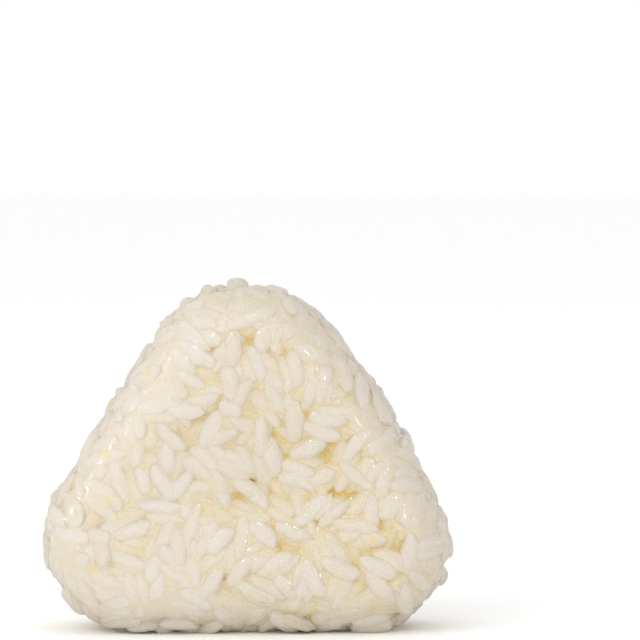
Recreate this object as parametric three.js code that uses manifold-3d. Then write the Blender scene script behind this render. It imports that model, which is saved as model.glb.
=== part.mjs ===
// A triangular ball of plain cooked rice, pressed in a mould and standing on its flat side.
// Units are millimetres. +X is to the right, +Z is up and the front face looks along -Y.
// The origin is in the middle of the flat base. The ball is one solid: a compact core with
// the grains of its outer layer fused on, each at its true size with few sides.
import * as THREE from "three";
import { MeshSurfaceSampler } from "three/addons/math/MeshSurfaceSampler.js";
import { mergeVertices } from "three/addons/utils/BufferGeometryUtils.js";
import Module from "manifold-3d";

// ---- driving dimensions --------------------------------------------------------------------

const THICKNESS = 31; // front to back, over the plump band around each dished face
const EDGE_RADIUS = 10; // rounding between a face and the rim
const SETTLE = 0.5; // how far its own weight has flattened the base

// Circles that round the corners, in the order in which the outline passes them.
const CORNERS = [
  { x: -24.9, z: 16.2 - SETTLE, radius: 16.2 },
  { x: 23.9, z: 16.8 - SETTLE, radius: 16.8 },
  { x: -0.5, z: 51.0, radius: 19.0 },
];
// How far each side turns at either end, in degrees: the base is straight, the others bow out.
const BOWS = [0, 7, 3.5];

// The shallow dish that the press leaves in the middle of each face.
const DISH = { depth: 2.6, x: 2.5, z: 27, halfWidth: 19, halfHeight: 15 };

const GRAIN = { length: 7.6, width: 3.5, thickness: 3.0 };
const GRAIN_COUNT = 260;
const SIZE_SPREAD = 0.12; // share by which a grain is longer or shorter than the usual
const PROUD = 0.35; // how far a grain's top stands above the mean surface, or lies below it
const LEAN = 10; // degrees that a grain may lean out of the surface
const CORE_INSET = 1.2; // from the mean surface down to the core between the grains

// Steps around each corner, along each side, over the rounded edge, and from the middle of a
// face to that edge.
const FINE = { corner: 9, side: 5, edge: 4, face: 4 };
const COARSE = { corner: 5, side: 3, edge: 3, face: 3 };

// ---- seeded chance -------------------------------------------------------------------------

// Mulberry32: the same grains at every build.
function seeded(seed) {
  let state = seed;
  return () => {
    state = (state + 0x6d2b79f5) | 0;
    let t = Math.imul(state ^ (state >>> 15), 1 | state);
    t = (t + Math.imul(t ^ (t >>> 7), 61 | t)) ^ t;
    return ((t ^ (t >>> 14)) >>> 0) / 4294967296;
  };
}

const random = seeded(24);
const between = (low, high) => low + (high - low) * random();

// A direction drawn evenly from all there are.
function anyDirection() {
  const angle = between(0, 2 * Math.PI);
  const up = between(-1, 1);
  const flat = Math.sqrt(1 - up * up);
  return new THREE.Vector3(flat * Math.cos(angle), flat * Math.sin(angle), up);
}

// ---- the front outline ---------------------------------------------------------------------

const onCircle = (circle, angle, inset = 0) =>
  new THREE.Vector2(
    circle.x + (circle.radius - inset) * Math.cos(angle),
    circle.z + (circle.radius - inset) * Math.sin(angle),
  );

// The side from corner a to corner b: the angle of its outward normal at mid-length, its turn
// to either end, and, where it bows, the circle it follows, which touches both corners.
function sideBetween(a, b, bow) {
  const turn = THREE.MathUtils.degToRad(bow);
  const length = Math.hypot(b.x - a.x, b.z - a.z);
  const heading = Math.atan2(b.z - a.z, b.x - a.x);
  const normal = heading - Math.acos(((a.radius - b.radius) * Math.cos(turn)) / length);
  if (!turn) return { normal, turn };
  const from = onCircle(a, normal - turn);
  const to = onCircle(b, normal + turn);
  const radius = from.distanceTo(to) / 2 / Math.sin(turn);
  const reach = radius * Math.cos(turn);
  const circle = {
    x: (from.x + to.x) / 2 - reach * Math.cos(normal),
    z: (from.y + to.y) / 2 - reach * Math.sin(normal),
    radius,
  };
  return { normal, turn, circle };
}

const SIDES = CORNERS.map((a, i) => sideBetween(a, CORNERS[(i + 1) % 3], BOWS[i]));

// The outline drawn in by inset, as one ring of points (x, z).
function outline(inset, steps) {
  const ring = [];
  CORNERS.forEach((corner, i) => {
    const before = SIDES[(i + 2) % 3];
    const after = SIDES[i];
    const start = before.normal + before.turn;
    const sweep = (after.normal - after.turn - start + 4 * Math.PI) % (2 * Math.PI);
    for (let k = 0; k <= steps.corner; k++)
      ring.push(onCircle(corner, start + (sweep * k) / steps.corner, inset));
    const first = onCircle(corner, after.normal, inset);
    const last = onCircle(CORNERS[(i + 1) % 3], after.normal, inset);
    for (let k = 1; k < steps.side; k++) {
      const share = k / steps.side;
      const angle = after.normal + after.turn * (2 * share - 1);
      const straight = first.clone().lerp(last, share);
      ring.push(after.circle ? onCircle(after.circle, angle, inset) : straight);
    }
  });
  return ring;
}

// ---- the moulded form ----------------------------------------------------------------------

// How much thinner one half of the ball is at (x, z), in the dish of its face.
function dishAt(x, z) {
  const across = (x - DISH.x) / DISH.halfWidth;
  const up = (z - DISH.z) / DISH.halfHeight;
  return DISH.depth * Math.exp(-(across * across + up * up));
}

// The rings of one half as { points (x, z), thick }, from near the middle of its face out to
// the rim, where thick is half the thickness before the dish is pressed in.
function halfRings(inset, steps) {
  const flat = outline(inset + EDGE_RADIUS, steps);
  const hub = new THREE.Vector2();
  flat.forEach((p) => hub.addScaledVector(p, 1 / flat.length));
  const rings = [];
  for (let k = 1; k < steps.face; k++)
    rings.push({
      points: flat.map((p) => hub.clone().lerp(p, k / steps.face)),
      thick: THICKNESS / 2,
    });
  for (let k = 0; k <= steps.edge; k++) {
    const angle = ((Math.PI / 2) * k) / steps.edge;
    rings.push({
      points: outline(inset + EDGE_RADIUS * (1 - Math.sin(angle)), steps),
      thick: THICKNESS / 2 - EDGE_RADIUS * (1 - Math.cos(angle)),
    });
  }
  return { hub, rings };
}

// The whole form, drawn in everywhere by inset, as a closed mesh: rings from the middle of the
// back face, around the rim, to the middle of the front face.
function mouldedForm(inset, steps) {
  const { hub, rings } = halfRings(inset, steps);
  const positions = [];
  const place = (side, thick, p) =>
    positions.push(p.x, side * (thick - inset - dishAt(p.x, p.y)), p.y);
  rings.forEach(({ points, thick }) => points.forEach((p) => place(1, thick, p)));
  rings
    .toReversed()
    .forEach(({ points, thick }) => points.forEach((p) => place(-1, thick, p)));
  place(1, THICKNESS / 2, hub);
  place(-1, THICKNESS / 2, hub);

  const size = rings[0].points.length;
  const lastRing = (2 * rings.length - 1) * size;
  const [backHub, frontHub] = [lastRing + size, lastRing + size + 1];
  const faces = [];
  for (let i = 0; i < size; i++) {
    const j = (i + 1) % size;
    faces.push(backHub, j, i);
    for (let a = 0; a < lastRing; a += size) {
      const b = a + size;
      faces.push(a + i, a + j, b + j);
      faces.push(a + i, b + j, b + i);
    }
    faces.push(frontHub, lastRing + i, lastRing + j);
  }
  return new THREE.BufferGeometry()
    .setAttribute("position", new THREE.Float32BufferAttribute(positions, 3))
    .setIndex(faces);
}

// The mass below the grains. Its underside is pressed flat on the board, as they are.
function coreForm() {
  const top = CORNERS[2].z + CORNERS[2].radius;
  const stretch = (top + SETTLE) / (top + SETTLE - CORE_INSET);
  return mouldedForm(CORE_INSET, COARSE)
    .translate(0, 0, -top)
    .scale(1, 1, stretch)
    .translate(0, 0, top);
}

// ---- grains --------------------------------------------------------------------------------

// A cooked grain with five sides, lying along X: blunt at one end, narrower at the germ end.
function grainForm() {
  const stations = [
    [0, -0.5],
    [0.54, -0.25],
    [0.5, 0.2],
    [0, 0.5],
  ];
  const profile = stations.map(([radius, along]) => new THREE.Vector2(radius, along));
  return new THREE.LatheGeometry(profile, 5)
    .rotateZ(-Math.PI / 2)
    .scale(GRAIN.length, GRAIN.thickness, GRAIN.width);
}

// Spreads places for grains evenly over the form, as { point, out, along }. Each is the one of
// several random tries whose line is furthest from the lines of the grains before it.
function scatterPlaces(tries = 40) {
  const form = mouldedForm(0, FINE);
  form.computeVertexNormals();
  const sampler = new MeshSurfaceSampler(new THREE.Mesh(form)).setRandomGenerator(random).build();
  const halfLine = GRAIN.length * 0.28;
  const placed = [];
  const roomFor = (marks) => {
    let least = Infinity;
    for (const other of placed)
      for (const a of marks)
        for (const b of other.marks) least = Math.min(least, a.distanceToSquared(b));
    return least;
  };
  while (placed.length < GRAIN_COUNT) {
    let best = null;
    for (let k = 0; k < tries; k++) {
      const point = new THREE.Vector3();
      const out = new THREE.Vector3();
      sampler.sample(point, out);
      out.normalize();
      const along = anyDirection().projectOnPlane(out).normalize();
      const marks = [-1, 0, 1].map((end) => point.clone().addScaledVector(along, end * halfLine));
      const room = roomFor(marks);
      if (!best || room > best.room) best = { point, out, along, marks, room };
    }
    placed.push(best);
  }
  return placed;
}

// The grain at one place: it lies flat there but for a slight lean, its top about level with
// the mean surface.
function grainAt({ point, out, along }) {
  const across = new THREE.Vector3().crossVectors(along, out);
  const lean = THREE.MathUtils.degToRad(between(-LEAN, LEAN));
  const depth = GRAIN.thickness / 2 - between(-PROUD, PROUD);
  const frame = new THREE.Matrix4()
    .makeRotationAxis(across, lean)
    .multiply(new THREE.Matrix4().makeBasis(along, out, across))
    .scale(new THREE.Vector3(1 + between(-SIZE_SPREAD, SIZE_SPREAD), 1, 1))
    .setPosition(point.clone().addScaledVector(out, -depth));
  return grainForm().applyMatrix4(frame);
}

// ---- joining -------------------------------------------------------------------------------

const wasm = await Module();
wasm.setup();

// A closed geometry as a solid. Points at one place are merged and flat scraps dropped.
function solid(geometry) {
  const bare = new THREE.BufferGeometry()
    .setAttribute("position", geometry.getAttribute("position"))
    .setIndex(geometry.getIndex());
  const merged = mergeVertices(bare, 1e-4);
  const index = merged.getIndex().array;
  const kept = [];
  for (let i = 0; i < index.length; i += 3) {
    const [a, b, c] = index.subarray(i, i + 3);
    if (a !== b && b !== c && c !== a) kept.push(a, b, c);
  }
  return new wasm.Manifold(
    new wasm.Mesh({
      numProp: 3,
      vertProperties: merged.getAttribute("position").array,
      triVerts: new Uint32Array(kept),
    }),
  );
}

function geometryOf(made) {
  const { vertProperties, triVerts } = made.getMesh();
  const geometry = new THREE.BufferGeometry()
    .setAttribute("position", new THREE.BufferAttribute(vertProperties, 3))
    .setIndex(new THREE.BufferAttribute(triVerts, 1));
  geometry.computeVertexNormals();
  return geometry;
}

// The core with its grains, cut off level where it stands on the board.
function riceBall() {
  const grains = scatterPlaces().map((place) => solid(grainAt(place)));
  const board = new THREE.BoxGeometry(200, 200, 20).translate(0, 0, -10);
  return wasm.Manifold.union([solid(coreForm()), ...grains]).subtract(solid(board));
}

// ---- the part ------------------------------------------------------------------------------

const cookedRice = new THREE.MeshStandardMaterial({
  color: 0xe9dfca,
  roughness: 0.42,
  metalness: 0,
  flatShading: true,
});

const rice = new THREE.Mesh(geometryOf(riceBall()), cookedRice);
rice.name = "rice";

const part = new THREE.Group();
part.name = "onigiri";
part.add(rice);

export default part;
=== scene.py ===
"""A pressed triangular ball of plain cooked rice, built grain by grain around its CAD frame.

The grains are packed in the mould by a small position based simulation, pressed against its
walls, and joined into one mesh for each kind of grain. Lengths are in metres.
"""

import logging
import math
from collections.abc import Sequence
from dataclasses import dataclass, field
from enum import Enum
from functools import cached_property
from typing import Any, Optional, Union

import bpy
import numpy as np
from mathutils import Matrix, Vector


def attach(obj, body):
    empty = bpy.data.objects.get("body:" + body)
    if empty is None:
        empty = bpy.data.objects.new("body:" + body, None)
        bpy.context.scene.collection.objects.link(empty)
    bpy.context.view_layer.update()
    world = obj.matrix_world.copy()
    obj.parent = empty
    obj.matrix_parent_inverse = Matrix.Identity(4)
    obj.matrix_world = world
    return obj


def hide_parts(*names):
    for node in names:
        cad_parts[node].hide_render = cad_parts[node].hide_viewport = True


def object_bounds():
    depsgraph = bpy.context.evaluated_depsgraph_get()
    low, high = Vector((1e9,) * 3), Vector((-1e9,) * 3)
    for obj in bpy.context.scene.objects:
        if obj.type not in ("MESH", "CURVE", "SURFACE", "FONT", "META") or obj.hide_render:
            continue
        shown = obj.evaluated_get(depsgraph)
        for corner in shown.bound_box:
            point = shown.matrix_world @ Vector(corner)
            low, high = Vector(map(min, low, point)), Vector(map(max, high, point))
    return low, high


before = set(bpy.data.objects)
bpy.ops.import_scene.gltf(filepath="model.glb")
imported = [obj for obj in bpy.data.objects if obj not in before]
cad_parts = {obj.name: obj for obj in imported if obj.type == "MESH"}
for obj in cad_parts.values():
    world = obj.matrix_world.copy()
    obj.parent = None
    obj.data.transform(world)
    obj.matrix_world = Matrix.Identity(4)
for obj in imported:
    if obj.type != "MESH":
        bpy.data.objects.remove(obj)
CAD_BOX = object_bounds()

MM = 0.001
IMAGE_SIDE = 640
RICE_NODE = "rice"

Array = np.ndarray
Pair = tuple[float, float]
log = logging.getLogger("rice_ball")


# ---- small helpers -------------------------------------------------------------------------


def smoothstep(low: float, high: float, value: Array) -> Array:
    """Rise smoothly from 0 at low to 1 at high.

    Args:
        low: Value at which the rise starts.
        high: Value at which it ends.
        value: Numbers to map.

    Returns:
        The mapped numbers, from 0 to 1.
    """
    share = np.clip((value - low) / (high - low), 0.0, 1.0)
    return share * share * (3.0 - 2.0 * share)


def unit(vectors: Array) -> Array:
    """Scale vectors to length one along their last axis."""
    return vectors / np.maximum(np.linalg.norm(vectors, axis=-1, keepdims=True), 1e-12)


def heading(angle: float) -> Array:
    """Give the unit vector of the x, z plane at an angle."""
    return np.array([math.cos(angle), math.sin(angle)])


@dataclass(frozen=True)
class Spread:
    """How a size varies from grain to grain, as a share of its usual value.

    Attributes:
        deviation: Standard deviation.
        least: Smallest share.
        most: Largest share.
    """

    deviation: float
    least: float
    most: float

    def draw(self, rng: np.random.Generator, count: int) -> Array:
        """Draw one share for each of a number of grains."""
        return np.clip(rng.normal(1.0, self.deviation, count), self.least, self.most)


# ---- the mould -----------------------------------------------------------------------------


@dataclass(frozen=True)
class Corner:
    """A circle that rounds one corner of the front outline.

    Attributes:
        x: Centre, to the right of the middle.
        z: Centre, above the board.
        radius: Radius of the circle.
    """

    x: float
    z: float
    radius: float

    def point(self, angle: float) -> Array:
        """Give the point of the circle at an angle."""
        return np.array([self.x, self.z]) + self.radius * heading(angle)


@dataclass(frozen=True)
class Side:
    """One side of the front outline.

    Attributes:
        start: Angle of the direction that it faces at its start.
        end: The same at its end.
        centre: Centre of the circle that it follows.
        radius: Radius of the circle, 0 for a straight side.
    """

    start: float
    end: float
    centre: Array
    radius: float


@dataclass(frozen=True)
class Mould:
    """The form that the rice is pressed in: a rounded triangle, dished on both faces.

    Attributes:
        thickness: Front to back, over the plump band around each dished face.
        edge_radius: Rounding between a face and the rim.
        corners: Circles of the corners, in the order in which the outline passes them.
        bows: How far each side turns at either end, in degrees.
        arc_steps: Tangents along a radian of the outline.
        dish_depth: Depth of the dish in each face.
        dish_centre: Middle of the dish, as x and z.
        dish_size: Half width of the dish, its reach upwards and its shorter reach downwards.
        loosening: Distances from the outline between which firmly pressed rice turns loose.
        foot: How much faster it does so above the foot.
    """

    thickness: float = 31 * MM
    edge_radius: float = 10 * MM
    corners: tuple[Corner, ...] = (
        Corner(-21.7 * MM, 18.4 * MM, 18.5 * MM),
        Corner(22.6 * MM, 16.9 * MM, 17.0 * MM),
        Corner(-0.5 * MM, 48.6 * MM, 20.3 * MM),
    )
    bows: tuple[float, ...] = (0.0, 10.0, 0.0)
    arc_steps: int = 14
    dish_depth: float = 2.6 * MM
    dish_centre: Pair = (2.5 * MM, 27 * MM)
    dish_size: tuple[float, float, float] = (19 * MM, 16 * MM, 9 * MM)
    loosening: Pair = (6.0 * MM, 11.5 * MM)
    foot: float = 1.7

    @cached_property
    def tangents(self) -> Array:
        """Tangents to the outline, one row each: normal x, normal z and reach."""
        sides = [self._side(i) for i in range(len(self.corners))]
        rows: list[list[float]] = []
        for i, corner in enumerate(self.corners):
            before, after = sides[i - 1], sides[i]
            centre = np.array([corner.x, corner.z])
            rows += self._arc(centre, corner.radius, before.end, after.start)
            if after.radius:
                rows += self._arc(after.centre, after.radius, after.start, after.end)
        return np.array(rows)

    def _side(self, i: int) -> Side:
        """Work out one side of the outline.

        Args:
            i: Number of the corner that it starts from.

        Returns:
            The side.
        """
        a, b = self.corners[i], self.corners[(i + 1) % len(self.corners)]
        turn = math.radians(self.bows[i])
        length = math.hypot(b.x - a.x, b.z - a.z)
        lean = math.acos((a.radius - b.radius) * math.cos(turn) / length)
        normal = math.atan2(b.z - a.z, b.x - a.x) - lean
        start, end = normal - turn, normal + turn
        ends = a.point(start), b.point(end)
        radius = np.linalg.norm(ends[1] - ends[0]) / 2 / math.sin(turn) if turn else 0.0
        centre = (ends[0] + ends[1]) / 2 - radius * math.cos(turn) * heading(normal)
        return Side(start, end, centre, radius)

    def _arc(self, centre: Array, radius: float, start: float, end: float) -> list[list[float]]:
        """List the tangents along an arc.

        Args:
            centre: Centre of the arc.
            radius: Radius of the arc.
            start: Angle at which it starts.
            end: Angle at which it ends.

        Returns:
            The tangents: normal x, normal z and reach of each.
        """
        sweep = (end - start + 2 * math.tau) % math.tau
        steps = max(1, math.ceil(sweep * self.arc_steps))
        normals = [heading(start + sweep * k / steps) for k in range(steps + 1)]
        return [[n[0], n[1], centre @ n + radius] for n in normals]

    def inset(self, points: Array) -> Array:
        """Measure how far points lie inside the front outline.

        Args:
            points: Places in or near the mould.

        Returns:
            The distances, negative outside.
        """
        x, z = points[..., 0].ravel(), points[..., 2].ravel()
        least = np.full(x.shape, np.inf)
        for across, up, reach in self.tangents:
            np.minimum(least, reach - across * x - up * z, out=least)
        return least.reshape(points.shape[:-1])

    def dish(self, points: Array) -> Array:
        """Measure how much the dish takes off each half of the thickness.

        Args:
            points: Places in or near the mould.

        Returns:
            The depths of the dish in front of the places or behind them.
        """
        half_width, above, below = self.dish_size
        across = (points[..., 0] - self.dish_centre[0]) / half_width
        up = points[..., 2] - self.dish_centre[1]
        up = up / np.where(up > 0, above, below)
        return self.dish_depth * np.exp(-(across * across + up * up))

    def height(self, points: Array) -> Array:
        """Measure the height of points above the mould's surface.

        Args:
            points: Places in or near the mould.

        Returns:
            The heights, negative inside.
        """
        over_edge = self.edge_radius - self.inset(points)
        flat = self.thickness / 2 - self.edge_radius
        over_face = np.abs(points[..., 1]) - (flat - self.dish(points))
        outside = np.hypot(np.maximum(over_edge, 0.0), np.maximum(over_face, 0.0))
        return outside + np.minimum(np.maximum(over_edge, over_face), 0.0) - self.edge_radius

    def outward(self, points: Array) -> Array:
        """Give the direction away from the mould's middle, square to its surface.

        Args:
            points: Places in or near the mould.

        Returns:
            A unit vector for each place.
        """
        step = 0.05 * MM
        slope = [self.height(points + d) - self.height(points - d) for d in np.eye(3) * step]
        return unit(np.stack(slope, -1))

    def pressed(self, points: Array) -> Array:
        """Tell how firmly the mould presses: 1 at the rim and face edges, 0 in mid face."""
        edge = np.minimum(self.inset(points), self.foot * points[..., 2])
        return 1.0 - smoothstep(*self.loosening, edge)


# ---- packing the grains --------------------------------------------------------------------


@dataclass
class Grains:
    """Places and sizes of grains, one row each.

    Attributes:
        centre: Middle of the grain.
        axis: Direction of its length.
        length: Tip to tip.
        girth: Mean of its width and thickness.
        sink: How deep a loose grain keeps below the wall, from 0 to 1.
        broken: Whether it has lost an end.
        proud: How far it may stand out of the mould.
    """

    centre: Array
    axis: Array
    length: Array
    girth: Array
    sink: Array
    broken: Array
    proud: Array

    def pick(self, which: Array) -> "Grains":
        """Keep only some of the grains."""
        rows = (getattr(self, name)[which] for name in self.__dataclass_fields__)
        return Grains(*rows)

    def __len__(self) -> int:
        """Count the grains."""
        return len(self.length)


@dataclass(frozen=True)
class TopGrain:
    """A grain that lies on top of the front face or stands out of the rim.

    Attributes:
        x: Its middle, to the right of the ball's, in mm.
        z: Its middle, above the board, in mm.
        turn: Direction of its length, in degrees above the horizontal.
        length: Tip to tip, in mm.
        y: Its middle, behind the ball's, in mm. Without it, the grain is laid on the front face.
        lean: How far its length points backwards, in degrees.
    """

    x: float
    z: float
    turn: float
    length: float
    y: Optional[float] = None
    lean: float = 0.0


TOP_GRAINS = (
    TopGrain(-3.1, 56.9, 89, 7.8),
    TopGrain(1.8, 53.5, -68, 8.0),
    TopGrain(-1.0, 48.0, 62, 6.6),
    TopGrain(5.3, 46.6, -60, 7.2),
    TopGrain(-12.4, 44.7, -3, 9.3),
    TopGrain(15.7, 42.7, -4, 8.2),
    TopGrain(9.0, 42.4, 91, 9.2),
    TopGrain(-7.3, 40.8, 62, 8.6),
    TopGrain(2.5, 39.1, 89, 9.0),
    TopGrain(11.8, 36.8, 22, 8.0),
    TopGrain(4.8, 35.2, 97, 8.6),
    TopGrain(-1.7, 34.0, -40, 8.4),
    TopGrain(21.3, 31.4, -40, 9.0),
    TopGrain(10.1, 30.4, -15, 9.0),
    TopGrain(-16.7, 30.3, -58, 8.4),
    TopGrain(-5.5, 28.8, -72, 9.0),
    TopGrain(33.3, 24.8, 80, 8.0),
    TopGrain(9.1, 20.2, -25, 8.6),
    TopGrain(3.1, 19.9, -40, 7.8),
    TopGrain(-8.0, 19.3, 62, 8.8),
    TopGrain(-1.3, 13.2, 48, 8.6),
    TopGrain(18.2, 13.2, -25, 8.8),
    TopGrain(12.8, 11.1, -65, 9.0),
    TopGrain(26.0, 9.5, -48, 8.8),
    TopGrain(-7.6, 65.4, 110, 7.6, -6.0),
    TopGrain(-23.0, 45.8, 150, 7.8, -6.0),
    TopGrain(-2.1, 68.2, 10, 7.6, -2.0, 75),
    TopGrain(15.1, 60.0, -41, 7.8, -3.0),
    TopGrain(18.4, 55.7, -50, 7.8, -5.0),
    TopGrain(22.6, 50.3, -48, 7.6, -2.0),
    TopGrain(26.3, 45.0, -60, 7.8, -1.0, 75),
    TopGrain(35.3, 27.9, -60, 8.6, -3.0),
    TopGrain(38.2, 21.6, -70, 6.4, -1.0),
    TopGrain(39.1, 17.3, -77, 6.2, -5.0),
    TopGrain(38.3, 10.2, -90, 7.6, 0.0, 70),
    TopGrain(-39.5, 16.2, 93, 8.6, -3.0),
    TopGrain(-37.6, 25.4, 72, 7.6, -1.0),
)


@dataclass(frozen=True)
class Packing:
    """Packs grains in the mould as overlapping capsules that push each other apart.

    Attributes:
        mould: The form they are pressed in.
        top_grains: Grains that stay in place, on top of the front face or proud of the rim.
        count: Number of grains in the whole ball.
        thrown_size: Width, depth and height of the box that they are thrown into.
        handful: Number of grains thrown at once.
        length: Usual length of a grain.
        width: Usual width.
        thickness: Usual thickness.
        lengths: How the length varies.
        girths: How the mean of width and thickness varies.
        broken_share: Share of the grains that have lost an end.
        stump: Least and most of its length that such a grain keeps.
        give: Share of their girth by which the soft grains squeeze into each other.
        rounds: Steps of the simulation.
        first_girth: Share of their girth that the grains start with.
        growth: Share that they would gain over all steps if they didn't stop when full.
        pair_rounds: Steps after which the near pairs are listed again.
        pair_reach: Distance between the middles of two grains that count as near.
        ease: Share of the pushes from other grains that a grain follows.
        wall_ease: Share of a push from the wall that it follows.
        slim_end: Share by which the squared radius shrinks towards a capsule's end.
        tip: From the end of a capsule's middle line to the grain's tip, as a share of its girth.
        wall_share: From that line to the wall, as a share of the girth.
        loosest: How far a loose grain may keep below the wall.
        shallow: Power that keeps most loose grains near it.
        face_zone: Distances from the middle plane between which the rim turns into a face.
        laid_zone: Depths between which thrown grains stop lying along the wall.
        upright: Share of its lean out of the surface that a thrown grain keeps near the wall.
        steepest: Sine of the steepest lean out of the surface that lasts near the wall.
        steep_depth: How deep steeper grains are laid down.
        laying: Share of the rest of their lean that they lose in a step.
        squeeze: Share of their depth that the layers keep under a face when the ball is pressed.
        rim_squeeze: The same at the rim.
        uneven: How far grains stand out of an even skin or stay behind it, as a spread.
        knob: How far single grains stand out of the rim.
        knob_share: Share of the grains that may stand out twice as far as the rest.
        rim_facing: Part of the outward direction towards a face below which a place is on the rim.
        proudest: How far out of the mould the rest may stand at most.
        proud: How far the top grains stand out of the front face.
        rim_proud: How far those of the rim may stand out.
        laid_steps: Steps in which a top grain is brought to its height.
        digits: Decimals kept of places and of directions.
        seed: Seed of every draw.
    """

    mould: Mould
    top_grains: tuple[TopGrain, ...] = TOP_GRAINS
    count: int = 2800
    thrown_size: tuple[float, float, float] = (88 * MM, 34.1 * MM, 72 * MM)
    handful: int = 4000
    length: float = 8.7 * MM
    width: float = 3.6 * MM
    thickness: float = 3.0 * MM
    lengths: Spread = Spread(0.09, 0.78, 1.22)
    girths: Spread = Spread(0.07, 0.84, 1.18)
    broken_share: float = 0.07
    stump: Pair = (0.55, 0.8)
    give: float = 0.24
    rounds: int = 160
    first_girth: float = 0.55
    growth: float = 0.75
    pair_rounds: int = 8
    pair_reach: float = 9.2 * MM
    ease: float = 0.96
    wall_ease: float = 0.8
    slim_end: float = 0.45
    tip: float = 0.31
    wall_share: float = 0.46
    loosest: float = 1.5 * MM
    shallow: float = 1.5
    face_zone: Pair = (5 * MM, 9 * MM)
    laid_zone: Pair = (5 * MM, 9 * MM)
    upright: float = 0.3
    steepest: float = 0.3
    steep_depth: float = 7.5 * MM
    laying: float = 0.2
    squeeze: float = 0.6
    rim_squeeze: float = 0.75
    uneven: float = 0.45 * MM
    knob: float = 0.9 * MM
    knob_share: float = 0.1
    rim_facing: float = 0.6
    proudest: float = 1.1 * MM
    proud: float = 0.35 * MM
    rim_proud: float = 2 * MM
    laid_steps: int = 6
    digits: tuple[int, int] = (7, 5)
    seed: int = 5

    def settle(self) -> Grains:
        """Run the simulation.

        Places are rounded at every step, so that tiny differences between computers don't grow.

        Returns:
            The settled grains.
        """
        rng = np.random.default_rng(self.seed)
        grains = self._scatter(rng)
        fixed = np.arange(len(self.top_grains))
        kept = grains.pick(fixed)
        place_digits, axis_digits = self.digits
        for k in range(self.rounds):
            grown = min(1.0, self.first_girth + self.growth * k / self.rounds)
            if k % self.pair_rounds == 0:
                pairs = self._near_pairs(grains)
            self._push_apart(grains, pairs, grown)
            self._press_in(grains)
            self._lay_down(grains)
            grains.centre[fixed], grains.axis[fixed] = kept.centre, kept.axis
            grains.centre = grains.centre.round(place_digits)
            grains.axis = grains.axis.round(axis_digits)
        self._draw_together(grains)
        self._make_uneven(grains, rng)
        return grains

    def _scatter(self, rng: np.random.Generator) -> Grains:
        """Throw grains into the mould at random, lying along the wall where it is near.

        Args:
            rng: Source of chance.

        Returns:
            The grains, the top grains among them.
        """
        wide, deep, high = self.thrown_size
        reach = np.array([wide / 2, deep / 2, high])
        centre = np.empty((0, 3))
        while len(centre) < self.count:
            thrown = rng.uniform([-1, -1, 0], [1, 1, 1], (self.handful, 3)) * reach
            centre = np.concatenate([centre, thrown[self.mould.height(thrown) < -MM]])
        centre = centre[: self.count]
        axis = rng.normal(size=(self.count, 3))
        out = self.mould.outward(centre)
        near = 1 - smoothstep(*self.laid_zone, -self.mould.height(centre))
        lean = (axis * out).sum(1) * near * (1 - self.upright)
        axis = unit(axis - lean[:, None] * out)
        length = self.length * self.lengths.draw(rng, self.count)
        broken = rng.random(self.count) < self.broken_share
        length[broken] *= rng.uniform(*self.stump, broken.sum())
        girth = (self.width + self.thickness) / 2
        grains = Grains(
            centre=centre,
            axis=axis,
            length=length,
            girth=girth * self.girths.draw(rng, self.count),
            sink=rng.random(self.count) ** self.shallow,
            broken=broken,
            proud=rng.uniform(0.0, self.proudest, self.count),
        )
        grains.proud[rng.random(self.count) < self.knob_share] += self.proudest
        self._lay_on_top(grains)
        return grains

    def _lay_on_top(self, grains: Grains) -> None:
        """Put the top grains in place, as the first rows of all grains.

        Args:
            grains: The grains, changed in place.
        """
        steepest_wall = 0.3  # keeps a step finite where the mould's surface runs straight back
        for k, top in enumerate(self.top_grains):
            rise, lean = math.radians(top.turn), math.radians(top.lean)
            across = math.cos(lean)
            axis = np.array([math.cos(rise) * across, math.sin(lean), math.sin(rise) * across])
            depth = -self.mould.thickness if top.y is None else top.y * MM
            centre = np.array([top.x * MM, depth, top.z * MM])
            grains.length[k], grains.sink[k], grains.broken[k] = top.length * MM, 0.0, False
            if top.y is None:
                wanted = self.proud - self.wall_share * grains.girth[k]
                for _ in range(self.laid_steps):
                    out = self.mould.outward(centre)
                    centre[1] += (self.mould.height(centre) - wanted) / max(-out[1], steepest_wall)
                axis[1] = -(axis @ out) / out[1]
            else:
                grains.proud[k] = self.rim_proud
            grains.centre[k], grains.axis[k] = centre, unit(axis)

    def _near_pairs(self, grains: Grains) -> tuple[Array, Array]:
        """List the pairs of grains, as rows of each, that are near enough to touch soon."""
        apart = sum((row[:, None] - row[None, :]) ** 2 for row in grains.centre.T)
        return np.nonzero(np.triu(apart < self.pair_reach * self.pair_reach, 1))

    def _arm(self, grains: Grains) -> Array:
        """Give half the length of each capsule's middle line."""
        return grains.length / 2 - self.tip * grains.girth

    @staticmethod
    def _turning(lever: Array, length: Array) -> Array:
        """Tell how far a push at the end of a lever turns a grain of that length."""
        return 3 * lever / (length / 2) ** 2

    def _closest(self, grains: Grains, i: Array, j: Array) -> tuple[Array, Array, Array]:
        """Find where the middle lines of pairs of capsules come closest.

        Args:
            grains: The grains.
            i: Rows of the first grain of each pair.
            j: Rows of the second.

        Returns:
            Where on the first line and on the second, from -1 to 1, and the way between them.
        """
        arm = self._arm(grains)
        a = arm[i, None] * grains.axis[i]
        b = arm[j, None] * grains.axis[j]
        between = grains.centre[i] - grains.centre[j]
        aa, bb, ab = (a * a).sum(1), (b * b).sum(1), (a * b).sum(1)
        ar, br = (a * between).sum(1), (b * between).sum(1)
        s = np.clip((ab * br - ar * bb) / np.maximum(aa * bb - ab * ab, 1e-16), -1, 1)
        t = np.clip((ab * s + br) / bb, -1, 1)
        s = np.clip((ab * t - ar) / aa, -1, 1)
        return s, t, between + s[:, None] * a - t[:, None] * b

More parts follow.
